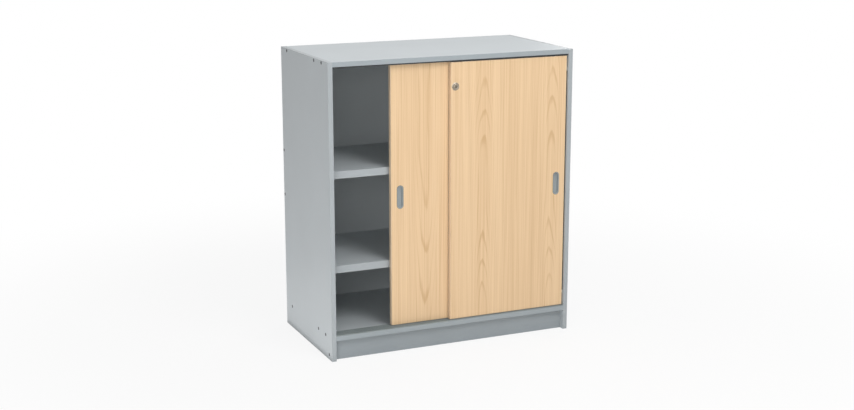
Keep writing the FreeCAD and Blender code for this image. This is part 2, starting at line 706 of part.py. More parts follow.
def door_nodes():
    """Both doors, the lock in the right one and the strike on the left one."""
    strike_screws, strike_holes = screws_and_holes(strike_screw_points(), (0, 1, 0))
    lock_screws, lock_holes = screws_and_holes(lock_screw_points(), (0, -1, 0))
    left_pull = LEFT_DOOR_X + PULL_INSET
    right_pull = RIGHT_DOOR_X + DOOR_WIDTH - PULL_INSET
    nodes = door("left_door", LEFT_DOOR_X, REAR_LANE, left_pull, strike_holes)
    nodes.update(door("right_door", RIGHT_DOOR_X, FRONT_LANE, right_pull, lock_cutout()))
    nodes.update({
        "strike_plate": strike_plate(strike_holes),
        "strike_screws": strike_screws,
        "lock_housing": lock_housing(lock_holes),
        "lock_screws": lock_screws,
        "lock_rosette": lock_rosette(),
        "lock_push_cylinder": push_cylinder(),
        "lock_plug": lock_plug(),
        "lock_bolt": lock_bolt(),
        "lock_spring": lock_spring(),
    })
    return nodes


def main():
    """Write one STEP file for each node."""
    os.makedirs("parts", exist_ok=True)
    nodes = carcase_nodes()
    nodes.update(track_nodes(nodes))
    nodes.update(door_nodes())
    for name, shape in sorted(nodes.items()):
        shape.exportStep("parts/" + name + ".step")
        print(name, len(shape.Solids), shape.isValid(), round(shape.Volume / 1000, 2))


main()
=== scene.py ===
# %% [markdown]
# # A sliding door cabinet, dressed for the camera
#
# The cabinet is a grey melamine carcase with two beech-pattern doors that slide past each
# other. The construction model gives every board, screw and wheel at its real size. This
# script adds what that model leaves plain: how each surface looks, and the small pieces whose
# soft edges catch the light, such as the finger pulls and the lock.
#
# First the finished construction is loaded. Each piece of it is called a node, and each group
# of nodes that moves as one is called a body. The box round the whole is measured now.

# %% Load the construction
import json
import math
from collections import namedtuple

import bpy
import numpy as np
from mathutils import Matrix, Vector


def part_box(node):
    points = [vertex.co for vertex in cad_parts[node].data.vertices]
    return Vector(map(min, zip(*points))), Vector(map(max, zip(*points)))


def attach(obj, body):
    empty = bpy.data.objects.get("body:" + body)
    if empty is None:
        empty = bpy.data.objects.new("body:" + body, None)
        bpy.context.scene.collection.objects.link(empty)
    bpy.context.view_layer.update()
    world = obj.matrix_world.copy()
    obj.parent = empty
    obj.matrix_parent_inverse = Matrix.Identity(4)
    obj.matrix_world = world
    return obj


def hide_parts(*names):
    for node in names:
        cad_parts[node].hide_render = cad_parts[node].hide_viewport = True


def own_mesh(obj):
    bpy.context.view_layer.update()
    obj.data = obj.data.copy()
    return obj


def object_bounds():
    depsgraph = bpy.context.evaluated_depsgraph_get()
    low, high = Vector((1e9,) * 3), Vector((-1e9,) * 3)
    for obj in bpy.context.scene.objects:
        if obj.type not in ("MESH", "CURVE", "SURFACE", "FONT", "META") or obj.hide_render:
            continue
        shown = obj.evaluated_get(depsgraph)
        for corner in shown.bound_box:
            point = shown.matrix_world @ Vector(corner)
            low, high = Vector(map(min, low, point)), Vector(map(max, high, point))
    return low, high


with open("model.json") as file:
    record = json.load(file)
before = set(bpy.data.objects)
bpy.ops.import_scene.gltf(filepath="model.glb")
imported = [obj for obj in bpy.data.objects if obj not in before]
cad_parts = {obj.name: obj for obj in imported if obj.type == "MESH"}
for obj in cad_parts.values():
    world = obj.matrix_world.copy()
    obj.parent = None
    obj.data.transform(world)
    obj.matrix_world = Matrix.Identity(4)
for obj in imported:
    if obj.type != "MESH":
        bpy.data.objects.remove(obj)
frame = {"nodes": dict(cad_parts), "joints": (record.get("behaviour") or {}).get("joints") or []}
box_before = [list(corner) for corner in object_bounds()]
nodes = frame["nodes"]
MM = 0.001


def middle_of(node):
    """Lowest corner, highest corner and middle of a node."""
    low, high = (np.array(corner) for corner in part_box(node))
    return low, high, (low + high) / 2


# %% [markdown]
# ## The camera
#
# A camera can be placed by hand until the view looks right, or worked out from known sizes.
# Here it was worked out: the corners of a box of 890 x 470 x 1000 mm have to land at chosen
# places in the view, and that fixes the angle, the distance and the lens. The camera stands off
# the front left corner of the cabinet, a little above it, and looks slightly down.

# %% Place the camera
AZIMUTH = math.radians(23.91)
ELEVATION = math.radians(13.2)
DISTANCE = 5.023             # metres from AIM to the camera
LENS = 60.03                 # focal length in mm, before a sensor 36 mm wide
AIM = Vector((3.7, 0.0, 443.9)) * MM


def towards_camera(azimuth, elevation):
    """Unit vector from the cabinet to the eye: left by the azimuth, and up by the elevation."""
    level = math.cos(elevation)
    return Vector((-math.sin(azimuth) * level, -math.cos(azimuth) * level, math.sin(elevation)))


def place_camera():
    """Camera at AIM + DISTANCE times the unit vector, turned to look back along it."""
    back = towards_camera(AZIMUTH, ELEVATION)
    camera = bpy.data.objects.new("camera", bpy.data.cameras.new("camera"))
    camera.data.lens = LENS
    camera.location = AIM + back * DISTANCE
    camera.rotation_euler = (-back).to_track_quat("-Z", "Y").to_euler()
    bpy.context.scene.collection.objects.link(camera)
    bpy.context.scene.camera = camera
    return camera


camera = place_camera()
print("camera at", [round(v, 3) for v in camera.location])

# %% [markdown]
# ## Shader maths as plain expressions
#
# A material in Blender is a graph of nodes, and a sum of two numbers is one node with two
# links. Written by hand that hides the idea. The class Value below wraps one socket, so that
# `1 - mask * 0.5` adds the two Math nodes by itself.

# %% A socket that does maths
class Value:
    """A socket in a material. An expression on values adds the Math nodes for it."""

    def __init__(self, finish, socket):
        self.finish, self.socket = finish, socket

    def maths(self, operation, first, second=0.0):
        """One Math node. An operation on a single value makes no use of the second."""
        return self.finish.node("Math", {"operation": operation}, {0: first, 1: second})

    def __add__(self, other):
        return self.maths("ADD", self, other)

    def __sub__(self, other):
        return self.maths("SUBTRACT", self, other)

    def __rsub__(self, other):
        return self.maths("SUBTRACT", other, self)

    def __mul__(self, other):
        return self.maths("MULTIPLY", self, other)

    def __truediv__(self, other):
        return self.maths("DIVIDE", self, other)

    def __rtruediv__(self, other):
        return self.maths("DIVIDE", other, self)

    __radd__, __rmul__ = __add__, __mul__

    def root(self):
        return self.maths("SQRT", self)

    def fraction(self):
        return self.maths("FRACT", self)

    def size(self):
        """The value without its sign."""
        return self.maths("ABSOLUTE", self)

    def sine(self):
        return self.maths("SINE", self)

    def larger(self, other):
        """Whichever of the two is more."""
        return self.maths("MAXIMUM", self, other)

    def spread(self, width):
        """A value from 0 to 1 as one from -width / 2 to width / 2."""
        return (self - 0.5) * width

    def rise(self, low, high):
        """0 below low, 1 above high, and a smooth S between them."""
        settings = {"interpolation_type": "SMOOTHSTEP"}
        return self.finish.node("MapRange", settings, {0: self, 1: low, 2: high})


print("what a value can do:", [name for name in vars(Value) if name[0] != "_"])

# %% [markdown]
# Colours are written in the 0 to 255 steps of a screen. Those steps are spaced for the eye, and
# the light that they stand for isn't: step 188 gives half the light of step 255. Blender reckons
# in light, so each colour is turned into light first.

# %% Colours as light
def colour(red, green, blue):
    """Light of screen steps c / 255: c / 12.92, or ((c + 0.055) / 1.055) ^ 2.4 above 0.04045."""
    c = np.array([red, green, blue]) / 255
    light = np.where(c <= 0.04045, c / 12.92, ((c + 0.055) / 1.055) ** 2.4)
    return [*light.tolist(), 1.0]


print("step 188 gives", round(colour(188, 188, 188)[0], 3), "of white's light")

# %% [markdown]
# A finish is one material. Each of its nodes comes from one method, Finish.node, which takes the
# node's type, its settings and what goes into its sockets, and so do the Math nodes of a Value.
# The methods below it name the few nodes that a grey board, a beech door or a felt strip needs.

# %% A material and its nodes
class Finish:
    """One material, and the method that all of its nodes come from."""

    def __init__(self, name):
        self.material = bpy.data.materials.new(name)
        self.material.use_nodes = True
        self.tree = self.material.node_tree
        self.shader = self.tree.nodes["Principled BSDF"]

    def node(self, kind, settings, sockets, output=0):
        """A node of that kind: its settings first, then a value or a link for each socket."""
        made = self.tree.nodes.new("ShaderNode" + kind)
        for key, value in settings.items():
            setattr(made, key, value)
        for key, value in sockets.items():
            if isinstance(value, Value):
                self.tree.links.new(value.socket, made.inputs[key])
            else:
                made.inputs[key].default_value = value
        return Value(self, made.outputs[output])

    def place(self, origin=(0, 0, 0), scale=(1, 1, 1)):
        """Object coordinates, measured from origin and then scaled along each axis."""
        here = self.node("TexCoord", {}, {}, "Object")
        moved = [-o * s for o, s in zip(origin, scale)]
        return self.node("Mapping", {}, {"Vector": here, "Location": moved, "Scale": scale})

    def axes(self, place):
        """The x, y and z of a place."""
        return [self.node("SeparateXYZ", {}, {0: place}, k) for k in range(3)]

    def noise(self, cells, detail=2.0, origin=(0, 0, 0)):
        """Cloudy noise from 0 to 1, with that many cells per metre along each axis."""
        sockets = {"Vector": self.place(origin, cells), "Scale": 1.0, "Detail": detail}
        return self.node("TexNoise", {}, sockets)

    def blend(self, share, first, second):
        """Colour that goes from first to second as share goes from 0 to 1."""
        return self.node("Mix", {"data_type": "RGBA"}, {0: share, 6: first, 7: second}, 2)

    def seen(self):
        """1 for a ray from the eye, from a mirror or through glass, and 0 for light at work."""
        rays = [self.node("LightPath", {}, {}, f"Is {kind} Ray")
                for kind in ("Camera", "Glossy", "Transmission")]
        return (rays[0] + rays[1] + rays[2]).rise(0.0, 1.0)

    def bumps(self, height, depth):
        """Surface direction of a relief: height from 0 to 1 stands for depth in metres."""
        return self.node("Bump", {}, {"Height": height, "Distance": depth, "Strength": 1.0})

    def paint(self, **values):
        """Sets the shader's sockets: Base_Color=..., Roughness=..., and so on."""
        for name, value in values.items():
            socket = self.shader.inputs[name.replace("_", " ")]
            if isinstance(value, Value):
                self.tree.links.new(value.socket, socket)
            else:
                socket.default_value = value
        return self.material


print("what a finish can do:", [name for name in vars(Finish) if name[0] != "_"])

# %% [markdown]
# ## Melamine in light grey
#
# The boards are chipboard with a printed and pressed paper on both faces. Up close the surface
# has a fine pearl, like the skin of an orange, and the grey is never quite even. A single colour
# would look like plastic card. So a cloudy noise over some decimetres and a fine one tint the
# grey by a few steps and give the gloss its spots, and a third is pressed in as relief.
#
# The rear is one board set between four others, flush with them. What tells them apart there is
# the joint, a hairline in shade that gathers dust. Its shade and dust are painted as a dark line on
# the board's own edge.

# %% Grey boards and their lipping
BOARD_LIGHT = colour(192, 198, 201)
BOARD_DARK = colour(187, 193, 196)
# The plinth is the same grey board in a darker grey: painted shade under the bottom panel's overhang
SHADED_PLINTH_LIGHT = colour(155, 162, 166)
SHADED_PLINTH_DARK = colour(151, 158, 162)
UPRIGHT_LIGHT = colour(171, 177, 180)
UPRIGHT_DARK = colour(166, 172, 175)
LEVEL_LIGHT = colour(161, 169, 173)
LEVEL_DARK = colour(157, 165, 169)
CLOUDS = (5.0, 5.0, 5.0)     # cells per metre along X, Y and Z, as for every noise below
GRAINS = (900.0, 900.0, 900.0)
PEARL = (420.0, 420.0, 420.0)
NOISE_MOST = (0.3, 0.7)      # a noise keeps within this range nearly everywhere
BOARD_ROUGH = 0.42
PLINTH_ROUGH = 0.45
LIPPING_ROUGH = 0.38         # plastic strips are smoother than paper
PEARL_DEPTH = 0.03 * MM
LIPPING_DEPTH = 0.015 * MM
CLOUD_TINT = 0.6             # how much each noise counts in the tint
GRAIN_TINT = 0.4
CLOUD_GLOSS = 0.08           # how far each noise moves the roughness
GRAIN_GLOSS = 0.10
SHEEN = 0.3                  # paper under resin mirrors less than solid plastic does
# Dark grey of the joint line: the painted shade of the hairline, and its dust
JOINT_SHADE_AND_DUST = colour(74, 76, 76)
JOINT_LINE = 0.9 * MM
JOINT_SHARE = 0.8            # how much of the grey the joint's painted shade and dust cover


def joint_line(finish, node):
    """1 along the upright and level edges of a flat board, 0 further in than JOINT_LINE.

    How far a point lies outside the smaller board is |x| - (width / 2 - JOINT_LINE), or the same
    with z and the height, whichever is more.
    """
    low, high, middle = middle_of(node)
    half = (high - low) / 2 - JOINT_LINE
    x, _, z = finish.axes(finish.place(tuple(middle)))
    beyond = (x.size() - half[0]).larger(z.size() - half[2])
    return beyond.rise(0.0, JOINT_LINE / 2)


def melamine(name, light, dark, rough=BOARD_ROUGH, relief=PEARL_DEPTH, framed=None):
    """Grey board or strip: clouds and grains for tint and gloss, pearl for relief.

    Framed is the name of a node that shows a joint round its edge: a dark line of painted shade and dust.
    """
    finish = Finish(name)
    clouds = finish.noise(CLOUDS, detail=4.0)
    grains = finish.noise(GRAINS, detail=1.0)
    pearl = finish.noise(PEARL, detail=1.0)
    light_share = (clouds * CLOUD_TINT + grains * GRAIN_TINT).rise(*NOISE_MOST)
    tint = finish.blend(light_share, dark, light)
    if framed:
        # painted shade and dust along the joint round the framed board
        tint = finish.blend(joint_line(finish, framed) * JOINT_SHARE, tint, JOINT_SHADE_AND_DUST)
    gloss = rough + grains.spread(GRAIN_GLOSS) + clouds.spread(CLOUD_GLOSS)
    finish.paint(Specular_IOR_Level=SHEEN)
    return finish.paint(Base_Color=tint, Roughness=gloss, Normal=finish.bumps(pearl, relief))


grey_board = melamine("grey_board", BOARD_LIGHT, BOARD_DARK)
rear_board = melamine("rear_board", BOARD_LIGHT, BOARD_DARK, framed="back_panel")
# the plinth's darker grey is painted shade
shaded_plinth = melamine("shaded_plinth", SHADED_PLINTH_LIGHT, SHADED_PLINTH_DARK, PLINTH_ROUGH)
upright_lipping = melamine("upright_lipping", UPRIGHT_LIGHT, UPRIGHT_DARK, LIPPING_ROUGH, LIPPING_DEPTH)
level_lipping = melamine("level_lipping", LEVEL_LIGHT, LEVEL_DARK, LIPPING_ROUGH, LIPPING_DEPTH)
GREYS = (grey_board, rear_board, shaded_plinth, upright_lipping, level_lipping)
print("grey finishes:", [made.name for made in GREYS])

# %% [markdown]
# ## Printed beech: streaks and flecks
#
# The doors' faces, and the narrow strips on their edges, carry a print of beech. Seen from a few
# steps away, what tells beech from other woods is fine streaks along the grain, some broad bands
# and short dark flecks. Each of them is a noise that is long along the height and narrow across
# it, so one function makes all three. The strips have nothing else, and are a little greyer.

# %% Streaks, bands and flecks
BEECH_FLECK = colour(186, 145, 100)
STRIP_LIGHT = colour(234, 209, 180)
STRIP_DARK = colour(222, 195, 164)
STREAKS = (230.0, 230.0, 2.0)
BANDS = (28.0, 28.0, 0.35)
FLECKS = (900.0, 900.0, 110.0)
FLECK_PEAKS = (0.70, 0.78)   # only the rare peaks of its noise show as flecks
NOISE_ALL = (0.25, 0.75)     # a noise hardly ever leaves this range
STRIP_STREAKS = 0.7          # how much the streaks and the bands count in a strip's tint
STRIP_BANDS = 0.3
STRIP_FLECKS = 0.3           # how strongly the flecks show
STRIP_ROUGH = 0.42
STRIP_GLOSS = 0.08           # how much duller the streaks are
STRIP_DEPTH = 0.02 * MM


def beech_streaks(finish, origin):
    """Fine streaks, broad bands and flecks: noises that are long along Z and narrow across."""
    fine = finish.noise(STREAKS, 4.0, origin)
    broad = finish.noise(BANDS, 3.0, origin)
    flecks = finish.noise(FLECKS, 1.0, origin).rise(*FLECK_PEAKS)
    return fine, broad, flecks


def beech_lipping(name, origin):
    """Narrow strips on the doors' edges: streaks and flecks, without the rings of the faces."""
    finish = Finish(name)
    fine, broad, flecks = beech_streaks(finish, origin)
    share = (fine * STRIP_STREAKS + broad * STRIP_BANDS).rise(*NOISE_ALL)
    strip = finish.blend(share, STRIP_LIGHT, STRIP_DARK)
    strip = finish.blend(flecks * STRIP_FLECKS, strip, BEECH_FLECK)
    gloss = STRIP_ROUGH + fine * STRIP_GLOSS
    return finish.paint(Base_Color=strip, Roughness=gloss, Normal=finish.bumps(fine, STRIP_DEPTH))


print("a streak is about", round(STREAKS[0] / STREAKS[2]), "times as long as it is wide")

# %% [markdown]
# ## Printed beech: yearly rings
#
# A board sawn from a trunk cuts through its yearly rings. The rings are nearly round pipes, so
# their number at a place is the distance to the heart of the trunk, divided by the ring's width.
# The trunk leans a little against the board, and that is why the rings close in pointed arches.
# The pattern below does just that sum, for a heart behind every figure, and bends it with slow
# noises.

# %% Yearly rings
FIGURE_PLACE = 122 * MM      # from the door's left edge to the middle of the first figure
FIGURE_PITCH = 260 * MM      # from figure to figure
FIGURE_CORE = 46 * MM        # the rings are darkest within this distance of the middle
RING = 5.0 * MM              # width of a yearly ring
SUMMER_START = 0.62          # within a ring, as a share of its width
SUMMER_DARKEST = 0.88
RING_SHARE = 0.18            # how dark a ring's line is,
CORE_SHARE = 0.36            # and what the middle of a figure adds
FADE_LEAST = 0.4
FADE = (30.0, 30.0, 4.0)     # lets the lines come and go
SWAY = (0.8, 0.8, 3.0)       # moves the figures sideways
SWAY_WIDTH = 16 * MM
WANDER = (9.0, 9.0, 2.2)     # moves the heart nearer and further
WANDER_DEPTH = 9 * MM
RIPPLE = (60.0, 60.0, 6.0)   # bends single lines
RIPPLE_WIDTH = 0.5           # in rings

# One door's place on the sheet: its origin; way is -1 upside down; heart is the depth of the
# trunk's heart there; lean is how far the heart moves away for each metre of height, on average;
# the lean comes and goes over the height wave, and is strongest at the height crest.
Sheet = namedtuple("Sheet", "origin way heart lean wave crest")


def beech_rings(finish, sheet):
    """Share of dark summer wood: the ring number's fraction, raised near the end of each ring.

    ring = square root of (across squared + depth squared) / RING, where across is the distance
    to the nearest figure's middle. depth = heart + lean times (height + wave / 2 pi times the
    sine of 2 pi (height - crest) / wave), so that arches come in groups.
    """
    origin = sheet.origin
    x, _, z = finish.axes(finish.place(origin, (1.0, 1.0, sheet.way)))
    sway = finish.noise(SWAY, 1.0, origin).spread(SWAY_WIDTH)
    figure = (x + sway - FIGURE_PLACE) / FIGURE_PITCH + 0.5
    across = figure.fraction().spread(FIGURE_PITCH)
    per_metre = 2 * math.pi / sheet.wave
    swing = ((z - sheet.crest) * per_metre).sine() / per_metre
    wander = finish.noise(WANDER, 2.0, origin).spread(WANDER_DEPTH)
    depth = (z + swing) * sheet.lean + sheet.heart + wander
    ripple = finish.noise(RIPPLE, 2.0, origin).spread(RIPPLE_WIDTH)
    phase = ((across * across + depth * depth).root() / RING + ripple).fraction()
    line = phase.rise(SUMMER_START, SUMMER_DARKEST) * (1 - phase.rise(SUMMER_DARKEST, 1.0))
    core = 1 - across.size().rise(0.0, FIGURE_CORE)
    fade = finish.noise(FADE, 1.0, origin).rise(*NOISE_ALL)
    return line * (core * CORE_SHARE + RING_SHARE) * (fade + FADE_LEAST)


print("rings from figure to figure:", round(FIGURE_PITCH / RING))

# %% [markdown]
# ## Beech doors
#
# Streaks, bands, flecks and rings come together on the doors' faces. Both doors are cut from the
# same printed sheet, but the left one stands on its head: its arches point down. A Mapping node
# with a negative scale turns the pattern over, so both doors share one function.

# %% The doors' faces and edges
BEECH_LIGHT = colour(236, 205, 165)
BEECH_DARK = colour(208, 171, 127)
FACE_STREAKS = 1.5           # how much the streaks and the bands move the share of dark wood
FACE_BANDS = 0.7
FACE_DARK = 0.27             # that share where nothing moves it
FACE_RANGE = (-0.3, 1.3)     # the share at which the wood is all light, and all dark
FACE_FLECKS = 0.35           # how strongly the flecks show
BEECH_ROUGH = 0.40
BEECH_GLOSS = 0.12           # how much duller the streaks are
STREAK_RELIEF = 0.6          # streaks stand up from the face and flecks are sunk in it,
FLECK_RELIEF = 0.8           # as shares of the depth
BEECH_DEPTH = 0.04 * MM
DOOR_MIDDLE = float(middle_of("right_door_edging")[2][2])    # height above the floor
LEFT_SHEET_DROP = 460 * MM   # the left door's sheet starts this far below its middle


def beech(name, sheet):
    """Printed beech on a door's faces, with its figures counted from the door's left edge."""
    finish = Finish(name)
    fine, broad, flecks = beech_streaks(finish, sheet.origin)
    streaked = fine.spread(FACE_STREAKS) + broad.spread(FACE_BANDS) + FACE_DARK
    share = (beech_rings(finish, sheet) + streaked).rise(*FACE_RANGE)
    wood = finish.blend(share, BEECH_LIGHT, BEECH_DARK)
    wood = finish.blend(flecks * FACE_FLECKS, wood, BEECH_FLECK)
    gloss = BEECH_ROUGH + fine * BEECH_GLOSS
    relief = finish.bumps(fine * STREAK_RELIEF - flecks * FLECK_RELIEF, BEECH_DEPTH)
    return finish.paint(Base_Color=wood, Roughness=gloss, Normal=relief)


def beech_finishes(door, height, **figures):
    """Finishes for the face and the edges of a door, whose sheet starts at a height."""
    left_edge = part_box(door + "_edging")[0][0]
    sheet = Sheet((left_edge, 0.0, height), **figures)
    print(door, sheet)
    return beech(door + "_beech", sheet), beech_lipping(door + "_lipping", sheet.origin)


DOORS = {
    "left_door": beech_finishes("left_door", DOOR_MIDDLE - LEFT_SHEET_DROP, way=-1.0,
                                heart=83.5 * MM, lean=0.0158, wave=900 * MM, crest=-240 * MM),
    "right_door": beech_finishes("right_door", DOOR_MIDDLE, way=1.0,
                                 heart=51 * MM, lean=0.030, wave=560 * MM, crest=-260 * MM),
}

# %% [markdown]
# ## Plastics
#
# Moulded and drawn plastic is even in colour, but its gloss isn't: it comes from the steel
# mould, which is slightly rough, and hands polish it. One function serves all of them, with a
# noise on the roughness and a very shallow relief. The tracks are drawn through a die, so their
# noise is stretched along X, the way they came out.

# %% Plastics
CUP_GREY = colour(160, 167, 169)
EVEN = (260.0, 260.0, 260.0)
DRAWN = (4.0, 900.0, 900.0)
DUST = (18.0, 18.0, 18.0)
MOULD_DEPTH = 0.01 * MM
DRAWN_DEPTH = 0.02 * MM
SKIN_GLOSS = 0.16            # how far the skin moves the roughness
DUSTY = 0.90                 # light of dusty plastic, as a share of the clean one's


def darker(light, share):
    """The same colour with that share of its light."""
    return [c * share for c in light[:3]] + [1.0]


def plastic(name, base, rough, cells=EVEN, relief=MOULD_DEPTH):
    """Plastic: one noise for gloss and relief, and a little dust in the colour."""
    finish = Finish(name)
    skin = finish.noise(cells)
    dust = finish.noise(DUST, detail=3.0)
    clean = ((skin + dust) / 2).rise(*NOISE_ALL)
    tint = finish.blend(clean, darker(base, DUSTY), base)
    gloss = rough + skin.spread(SKIN_GLOSS)
    return finish.paint(Base_Color=tint, Roughness=gloss, Normal=finish.bumps(skin, relief))


grey_plastic = plastic("grey_plastic", CUP_GREY, rough=0.36)
track_plastic = plastic("track_plastic", colour(141, 149, 149), 0.40, DRAWN, DRAWN_DEPTH)
dark_plastic = plastic("dark_plastic", colour(52, 55, 57), 0.48, DRAWN, DRAWN_DEPTH)
white_plastic = plastic("white_plastic", colour(226, 226, 221), rough=0.38)
soft_plastic = plastic("soft_plastic", colour(206, 206, 200), rough=0.30)
PLASTICS = (grey_plastic, track_plastic, dark_plastic, white_plastic, soft_plastic)
print("plastics:", [made.name for made in PLASTICS])

# %% [markdown]
# ## Metals
#
# Bare metal has no colour of its own beyond a tint on what it reflects, so what tells nickel
# from zinc is how sharp that reflection is. Nickel on the lock is nearly a mirror with hair
# scratches. Zinc on the screws is cloudy. The heads of the connector screws are blackened.

# %% Metals
HAIR = (1400.0, 900.0, 300.0)
FROST = (700.0, 700.0, 700.0)
TARNISH = (150.0, 150.0, 150.0)
HAIR_DEPTH = 0.004 * MM
FROST_DEPTH = 0.006 * MM
SCRATCH_GLOSS = 0.14         # how far scratches and tarnish move the roughness
TARNISH_GLOSS = 0.10
TARNISHED = 0.86             # light of tarnished metal, as a share of the bright one's


def metal(name, base, rough, scratches, relief):
    """Plated metal: one noise for scratches in gloss and relief, and one for tarnish."""
    finish = Finish(name)
    scratch = finish.noise(scratches)
    tarnish = finish.noise(TARNISH, detail=3.0)
    tint = finish.blend(tarnish.rise(*NOISE_MOST), darker(base, TARNISHED), base)
    gloss = rough + scratch.spread(SCRATCH_GLOSS) + tarnish.spread(TARNISH_GLOSS)
    finish.paint(Metallic=1.0)
    return finish.paint(Base_Color=tint, Roughness=gloss, Normal=finish.bumps(scratch, relief))


nickel = metal("nickel", colour(172, 162, 148), 0.22, HAIR, HAIR_DEPTH)
# The key plug is the lock's nickel in a darker tint: painted shade in the middle of the lock
shaded_nickel = metal("shaded_nickel", colour(140, 130, 116), 0.26, HAIR, HAIR_DEPTH)
zinc = metal("zinc", colour(205, 207, 210), 0.34, FROST, FROST_DEPTH)
black_steel = metal("black_steel", colour(66, 68, 72), 0.42, FROST, FROST_DEPTH)
print("metals:", [made.name for made in (nickel, shaded_nickel, zinc, black_steel)])

# %% [markdown]
# ## Bare beech
#
# The dowels between the boards are bare turned beech with pressed flutes. They are out of sight
# in the finished cabinet, but they are there when it is taken apart, so they get wood too.

# %% Bare wood
RAW_LIGHT = colour(214, 178, 132)
RAW_DARK = colour(190, 150, 104)
RAW_GRAIN = (12.0, 900.0, 900.0)
RAW_ROUGH = 0.62
RAW_DEPTH = 0.05 * MM


def bare_wood(name):
    """Bare beech whose grain runs along X, the way a dowel lies."""
    finish = Finish(name)
    fine = finish.noise(RAW_GRAIN, detail=3.0)
    wood = finish.blend(fine.rise(*NOISE_MOST), RAW_LIGHT, RAW_DARK)
    return finish.paint(Base_Color=wood, Roughness=RAW_ROUGH, Normal=finish.bumps(fine, RAW_DEPTH))


raw_beech = bare_wood("raw_beech")
print("bare wood:", raw_beech.name)

# %% [markdown]
# ## Finishes on the construction's own nodes
#
# Boards, lippings, tracks and screws already have their real shape, so they only get a finish.
# The table says which finish each node takes. The cell ends by printing the nodes that the table
# missed, and that list should be empty.

# %% Dress the nodes
DRESS = {
    grey_board: ["left_side_panel", "right_side_panel", "top_panel", "bottom_panel", "upper_shelf",
                 "lower_shelf"],
    rear_board: ["back_panel"],
    shaded_plinth: ["plinth_board"],
    upright_lipping: ["left_side_edging", "right_side_edging", "upper_shelf_edging",
                      "lower_shelf_edging"],
    level_lipping: ["top_panel_edging", "bottom_panel_edging"],
    track_plastic: ["bottom_track"],
    dark_plastic: ["top_track"],
    soft_plastic: ["left_side_buffers", "right_side_buffers"],
    nickel: ["lock_housing", "lock_rosette", "lock_push_cylinder"],
    # the plug's darker nickel is painted shade
    shaded_nickel: ["lock_plug"],
    zinc: ["bottom_track_screws", "top_track_screws", "strike_plate", "strike_screws", "lock_screws",
           "lock_spring", "lock_bolt", "upper_shelf_supports", "lower_shelf_supports"],
    black_steel: ["left_side_screws", "right_side_screws"],
    raw_beech: ["wooden_dowels"],
    grey_plastic: [],
    white_plastic: [],
}
for door, (face, edges) in DOORS.items():
    DRESS[face] = [door + "_panel"]
    DRESS[edges] = [door + "_edging"]
    DRESS[grey_plastic] += [door + "_finger_pull"]
    DRESS[zinc] += [door + "_carrier_screws", door + "_roller_axles"]
    DRESS[dark_plastic] += [door + "_top_guides"]
    DRESS[white_plastic] += [door + "_roller_carriers", door + "_left_roller", door + "_right_roller"]


def dress(node, material):
    """Puts the material in the node's first slot, or in a new slot if it has none."""
    if node.material_slots:
        node.material_slots[0].material = material
    else:
        node.data.materials.append(material)


for material, names in DRESS.items():
    for name in names:
        dress(nodes[name], material)
undressed = set(nodes) - {name for names in DRESS.values() for name in names}
print("nodes without a finish:", sorted(undressed))

# %% [markdown]
# ## Round corners for a profile
#
# Most of the new pieces start from a profile, a short line of corners on paper. Real corners are
# never quite sharp, and a small radius is what catches the light. Blender's Bevel modifier could
# round them afterwards, but here each corner has a radius of its own, so the arcs are worked out.

# %% Round corners
def round_corners(points, radii, steps=6):
    """Open outline whose inner corners are arcs of the given radii.

    At a corner with half angle h, an arc of radius r touches both sides at r / tan h from the
    corner, and its middle lies at r / sin h along the bisector. The arc's points are mixed from
    its two end spokes with the weights sin((1 - s) turn) / sin turn and sin(s turn) / sin turn,
    where turn is the angle between the spokes and s goes from 0 to 1.
    """
    p = np.array(points, float)
    corner, radius = p[1:-1], np.array(radii, float)[:, None]
    to_last, to_next = p[:-2] - corner, p[2:] - corner
    to_last /= np.linalg.norm(to_last, axis=1, keepdims=True)
    to_next /= np.linalg.norm(to_next, axis=1, keepdims=True)
    half = np.arccos(np.clip((to_last * to_next).sum(1, keepdims=True), -1, 1)) / 2
    bisector = (to_last + to_next) / np.linalg.norm(to_last + to_next, axis=1, keepdims=True)
    middle = corner + bisector * radius / np.sin(half)
    spoke_a = corner + to_last * radius / np.tan(half) - middle
    spoke_b = corner + to_next * radius / np.tan(half) - middle
    turn = (np.pi - 2 * half)[:, None]
    s = np.linspace(0, 1, steps)[None, :, None]
    weight_a, weight_b = np.sin((1 - s) * turn) / np.sin(turn), np.sin(s * turn) / np.sin(turn)
    arcs = middle[:, None] + weight_a * spoke_a[:, None] + weight_b * spoke_b[:, None]
    return np.vstack([p[:1], arcs.reshape(-1, 2), p[-1:]])


print("a corner becomes", len(round_corners([(0, 0), (1, 0), (1, 1)], [0.2])) - 2, "points")

# %% [markdown]
# ## A profile carried round an oval
#
# A turned ring and an oval finger pull are the same idea. A profile, drawn as points of
# (radius, depth), is carried once round. For a turned piece it goes round a point. For the pull
# it goes round a short upright line, which gives two half circles joined by straight sides.
# The whole surface is one array sum, so no loop visits the points one by one.

# %% Surfaces that go round
def outward(points, faces):
    """The four-sided faces, turned over if they point inwards.

    Six times the volume between the faces and the middle of the points is the sum of
    a . (b x c) over the two triangles of each face, and it is negative if they point inwards.
    """
    a, b, c, d = (points - points.mean(axis=0))[faces.T]
    volume = (a * np.cross(b, c)).sum() + (a * np.cross(c, d)).sum()
    return faces if volume > 0 else faces[:, ::-1]


def capped(points, quads, ring, last):
    """The quads and one face over each end: the first ring, and the last, that many points on."""
    turned = outward(points, quads)
    near, far = ring.tolist(), (ring + last).tolist()
    ends = [near[::-1], far] if turned is quads else [near, far[::-1]]
    return turned.tolist() + ends


